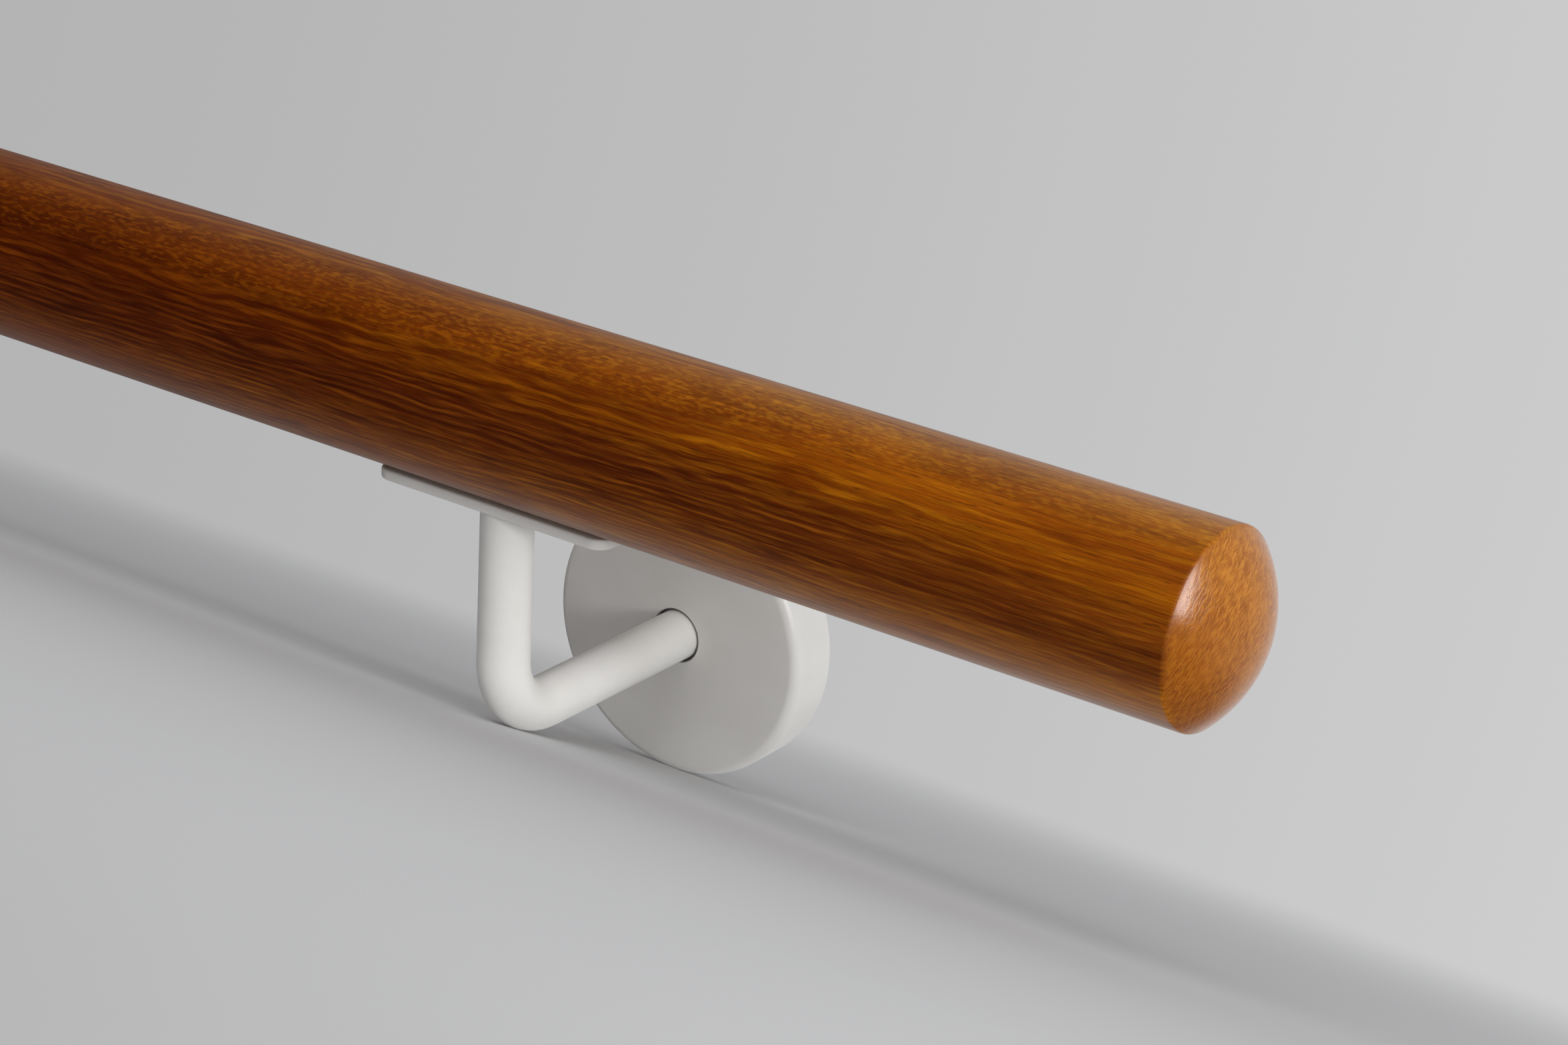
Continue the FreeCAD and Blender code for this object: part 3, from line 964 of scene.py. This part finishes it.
    def make_arm(self) -> None:
        """Draw the bar down from its weld, spin it round the elbow and run it to the flange."""
        mesh = bmesh.new()
        top = -self.plate_underside
        bmesh.ops.create_circle(mesh, cap_ends=True, radius=self.bar_radius + self.weld_round,
                                segments=self.bar_facets, matrix=Matrix.Translation((0.0, 0.0, top)))
        ring = mesh.edges[:]
        for step in range(1, self.weld_steps + 1):
            angle = math.radians(90.0 * step / self.weld_steps)
            radius = self.bar_radius + self.weld_round * (1.0 - math.sin(angle))
            ring = carry_ring(mesh, ring, top - self.weld_round * (1.0 - math.cos(angle)), radius)
        bend_start = self.bend_radius - self.stance.arm_drop
        ring = carry_ring(mesh, ring, bend_start, self.bar_radius)
        bend_centre = Vector((0.0, self.bend_radius, bend_start))
        verts = list(dict.fromkeys(vert for edge in ring for vert in edge.verts))
        spun = bmesh.ops.spin(mesh, geom=[*verts, *ring], cent=bend_centre, axis=(1.0, 0.0, 0.0),
                              angle=math.radians(90.0), steps=self.bend_steps,
                              use_duplicate=False)["geom_last"]
        verts, end = extrude_ring(mesh, [item for item in spun if isinstance(item, BMEdge)])
        flange_face = self.stance.wall_distance - self.flange_thickness
        reach = flange_face + self.socket_depth - self.bend_radius
        bmesh.ops.translate(mesh, vec=(0.0, reach, 0.0), verts=verts)
        bmesh.ops.edgeloop_fill(mesh, edges=end)
        bmesh.ops.recalc_face_normals(mesh, faces=mesh.faces)
        self.add_coated(mesh, "bent_bar", "bracket_arm")

    def make_rosette(self) -> None:
        """Spin the thin cup with its rounded edge and its hole for the bar."""
        depth, radius, lip = self.rosette_depth, self.rosette_radius, self.rosette_lip
        wall, edge = self.rosette_wall, self.rosette_edge
        hole = self.bar_radius + self.rosette_gap
        edge_centre = (depth - edge, radius - edge)
        rim = arc((lip, radius - lip), lip, 180.0, 90.0, 4)
        outside = arc(edge_centre, edge, 90.0, 0.0, 12)
        mouth = arc((depth - lip, hole + lip), lip, 0.0, -90.0, 4)
        inside = arc(edge_centre, edge - wall, 0.0, 90.0, 6)
        outline = [*rim, *outside, *mouth, (depth - wall, hole), *inside, (0.0, radius - wall), rim[0]]
        origin = Vector((0.0, self.stance.wall_distance, -self.stance.arm_drop))
        mesh = self.lathe(outline, Vector((0.0, -1.0, 0.0)), Vector((0.0, 0.0, 1.0)), origin,
                          self.rosette_facets)
        self.add_coated(mesh, "rosette_cup", "cover_rosette")

    def make_screw(self, end: str, across: float) -> None:
        """Make a countersunk wood screw with a cross recess.

        Args:
            end: Which of the plate's ends the screw is at.
            across: The screw's place along the plate.
        """
        mesh = bmesh.new()
        bmesh.ops.create_circle(mesh, cap_ends=False, radius=self.screw_head,
                                segments=self.screw_facets)
        ring = mesh.edges[:]
        self.cut_cross(mesh, ring)
        cone_end = self.screw_head_rim + self.screw_head - self.screw_shank
        for radius, height in ((self.screw_head, self.screw_head_rim), (self.screw_shank, cone_end),
                               (self.screw_shank, self.screw_length - self.screw_tip),
                               (self.screw_point, self.screw_length)):
            ring = carry_ring(mesh, ring, height, radius)
        bmesh.ops.edgeloop_fill(mesh, edges=ring)
        bmesh.ops.recalc_face_normals(mesh, faces=mesh.faces)
        bmesh.ops.translate(mesh, vec=(across, 0.0, -self.plate_underside), verts=mesh.verts)
        self.finish(mesh, f"wood_screw.{self.side.value}_{end}", Slot.ZINC,
                    f"plate_screw_{self.side.value}_{end}", self.along, self.screw_crease)

    def cut_cross(self, mesh: BMesh, rim: list[BMEdge]) -> None:
        """Fill the screw's head round a cross recess that narrows to its bottom.

        Args:
            mesh: The screw's mesh.
            rim: The edges of the head's rim.
        """
        narrow, reach = self.slot_width / 2.0, self.screw_head * self.slot_reach
        arm = [(narrow, narrow), (reach, narrow), (reach, -narrow)]
        points = []
        for quarter in range(4):
            turn = Matrix.Rotation(math.radians(-90.0 * quarter), 2)
            points.extend(turn @ Vector(point) for point in arm)
        verts = [mesh.verts.new((point.x, point.y, 0.0)) for point in points]
        cross = [mesh.edges.new(pair) for pair in zip(verts, [*verts[1:], verts[0]])]
        bmesh.ops.triangle_fill(mesh, use_beauty=True, use_dissolve=False, edges=[*rim, *cross])
        verts, bottom = extrude_ring(mesh, cross)
        bmesh.ops.translate(mesh, vec=(0.0, 0.0, self.slot_depth), verts=verts)
        bmesh.ops.scale(mesh, vec=(self.slot_taper, self.slot_taper, 1.0), verts=verts)
        bmesh.ops.contextual_create(mesh, geom=bottom)


@dataclass(frozen=True)
class Lamp:
    """An area lamp in the floor's frame.

    Attributes:
        name: The lamp's name.
        place: Where it hangs.
        size: Its width and height.
        power: Its power in watts.
        lights: Whether it lights what it shines on.
        glints: Whether gloss shows it.
    """

    name: str
    place: Triple
    size: Span
    power: float
    lights: bool = True
    glints: bool = True

    def hang(self, target: Triple) -> None:
        """Hang the lamp and aim it.

        Args:
            target: Where it is aimed.
        """
        data = bpy.data.lights.new(self.name, "AREA")
        data.shape = "RECTANGLE"
        data.size, data.size_y = self.size
        data.energy = self.power
        lamp = bpy.data.objects.new(self.name, data)
        lamp.location = self.place
        lamp.rotation_mode = "QUATERNION"
        lamp.rotation_quaternion = (Vector(target) - lamp.location).to_track_quat("-Z", "Y")
        lamp.visible_diffuse = self.lights
        lamp.visible_glossy = self.glints
        bpy.context.scene.collection.objects.link(lamp)


@dataclass
class Studio:
    """The pale floor, the soft light and the camera.

    The camera's place, target and right-hand direction are in the hung frame, measured from the
    rail's right shoulder, where the round side meets the dome.

    Attributes:
        stance: Where the hung rail's frame lies.
        lamps: A low soft key at the right, a broad lamp above, and a strip that only glints.
        lamp_target: Where the lamps are aimed, near the rail's right end.
        floor_fade: Distance over which the floor fades, counted double across the rail.
    """

    stance: Stance
    shoulder: float = 391.0 * MM
    camera_place: Triple = (0.315465, -0.602407, 0.293790)
    camera_target: Triple = (-0.101884, 0.0, -0.006817)
    camera_right: Triple = (0.80837, 0.58632, 0.05266)
    focal_pixels: float = 5781.5
    sensor_width: float = 36.0
    lamps: tuple[Lamp, ...] = (
        Lamp("key", (1.45, -0.55, 0.17), (0.5, 0.28), 8.8, glints=False),
        Lamp("top", (0.55, -1.25, 0.85), (1.2, 0.9), 9.4, glints=False),
        Lamp("strip", (1.40, -0.60, 0.52), (0.45, 0.9), 33.0, lights=False),
    )
    lamp_target: Triple = (0.25, 0.0, 0.05)
    pale: Colour = (1.0, 1.0, 1.01)
    floor_colour: Colour = (0.60, 0.603, 0.61)
    floor_radius: float = 6.0
    floor_fade: Span = (0.30, 1.2)

    def build(self) -> None:
        """Make the camera, the world, the floor and the lamps."""
        self.make_camera()
        self.make_world()
        self.make_floor()
        for lamp in self.lamps:
            lamp.hang(self.lamp_target)

    def make_camera(self) -> None:
        """Aim the camera as the photograph's was."""
        data = bpy.data.cameras.new("photo_camera")
        data.sensor_width = self.sensor_width
        data.lens = self.focal_pixels / PHOTO_WIDTH * self.sensor_width
        data.clip_start, data.clip_end = 0.01, 50.0
        place, target = Vector(self.camera_place), Vector(self.camera_target)
        backwards = (place - target).normalized()
        across = Vector(self.camera_right)
        across = (across - across.project(backwards)).normalized()
        upwards = backwards.cross(across)
        turned = Matrix((across, upwards, backwards)).transposed().to_4x4()
        camera = bpy.data.objects.new("photo_camera", data)
        camera.matrix_world = self.stance.matrix(self.shoulder) @ Matrix.Translation(place) @ turned
        bpy.context.scene.collection.objects.link(camera)
        bpy.context.scene.camera = camera

    def make_world(self) -> None:
        """Surround the part with a pale room that lights it evenly, but is dark at the front left.

        Gloss shows a room that is bright behind the part and dims towards the front, and the
        camera sees a plain backdrop that dims to either side.
        """
        world = bpy.data.worlds.new("pale_room")
        world.use_nodes = True
        graph = Graph(world.node_tree)
        shader = world.node_tree.nodes["Background"]
        coordinates = graph.add("TexCoord")
        rightwards, backwards, upwards = graph.axes(coordinates.outputs["Generated"])
        backdrop = graph.times(graph.ramp(rightwards, -0.90, 0.05, 0.42, 0.72),
                               graph.ramp(rightwards, -0.30, 0.15, 1.0, 0.78))
        unlit = graph.times(graph.ramp(backwards, -0.05, -0.55),
                            graph.ramp(rightwards, 0.25, -0.25, 0.0, 0.9))
        filling = graph.times(graph.ramp(rightwards, -0.9, 0.7, 0.42, 0.54), graph.less(1.0, unlit))
        shaded = graph.times(graph.ramp(rightwards, -0.25, 0.25),
                             graph.ramp(upwards, -0.1, -0.5, 0.0, 0.8))
        mirrored = graph.times(graph.ramp(backwards, -0.45, 0.40, 0.0, 0.68),
                               graph.ramp(rightwards, -0.68, -0.36, 0.3, 1.25),
                               graph.ramp(upwards, -0.1, -0.55, 1.0, 1.25),
                               graph.less(1.0, shaded))
        path = graph.add("LightPath")
        strength = graph.ramp(path.outputs["Is Glossy Ray"], 0.0, 1.0, filling, mirrored)
        strength = graph.ramp(path.outputs["Is Camera Ray"], 0.0, 1.0, strength, backdrop)
        graph.feed(shader.inputs["Color"], opaque(self.pale))
        graph.feed(shader.inputs["Strength"], strength)
        bpy.context.scene.world = world

    def make_floor(self) -> None:
        """Lay a pale round floor that fades into the surroundings far from the part."""
        mesh = bmesh.new()
        bmesh.ops.create_circle(mesh, cap_ends=True, radius=self.floor_radius, segments=96)
        data = bpy.data.meshes.new("floor")
        mesh.to_mesh(data)
        mesh.free()
        data.materials.append(self.floor_material())
        floor = bpy.data.objects.new("floor", data)
        floor.visible_glossy = False
        bpy.context.scene.collection.objects.link(floor)

    def floor_material(self) -> Material:
        """Make the floor's finish, which is clear from below and far from the part.

        Returns:
            The material.
        """
        material = bpy.data.materials.new("pale_floor")
        material.use_nodes = True
        graph = Graph(material.node_tree)
        shader = material.node_tree.nodes["Principled BSDF"]
        output = material.node_tree.nodes["Material Output"]
        for name, value in (("Base Color", opaque(self.floor_colour)), ("Roughness", 0.9),
                            ("Specular IOR Level", 0.1)):
            graph.feed(shader.inputs[name], value)
        place = graph.divide(graph.add("TexCoord").outputs["Object"], (1.0, 0.5, 1.0))
        distance = graph.add("VectorMath", operation="LENGTH")
        graph.feed(distance.inputs[0], place)
        fade = graph.ramp(distance.outputs["Value"], *self.floor_fade)
        below = graph.add("NewGeometry").outputs["Backfacing"]
        clear = graph.add("BsdfTransparent").outputs[0]
        mixed = graph.fill("MixShader", graph.math("MAXIMUM", fade, below), shader.outputs[0], clear)
        graph.feed(output.inputs["Surface"], mixed)
        return material


def main() -> None:
    """Build the part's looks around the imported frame."""
    logging.basicConfig(level=logging.INFO)
    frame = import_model()
    bpy.context.scene.view_settings.view_transform = "Standard"
    stance = Stance()
    stance.read(frame["record"])
    marks = HandlingMarks()
    finishes = {Slot.WOOD: Hardwood(), Slot.COAT: PowderCoat(), Slot.ZINC: ZincPlate()}
    materials = {slot: finish.build(stance, marks) for slot, finish in finishes.items()}
    Handrail(stance, materials).build()
    for side in Side:
        bracket = WallBracket(stance, materials, side)
        bracket.build()
        bracket.dress_flange(frame["nodes"])
    Studio(stance).build()


if __name__ == "__main__":
    main()
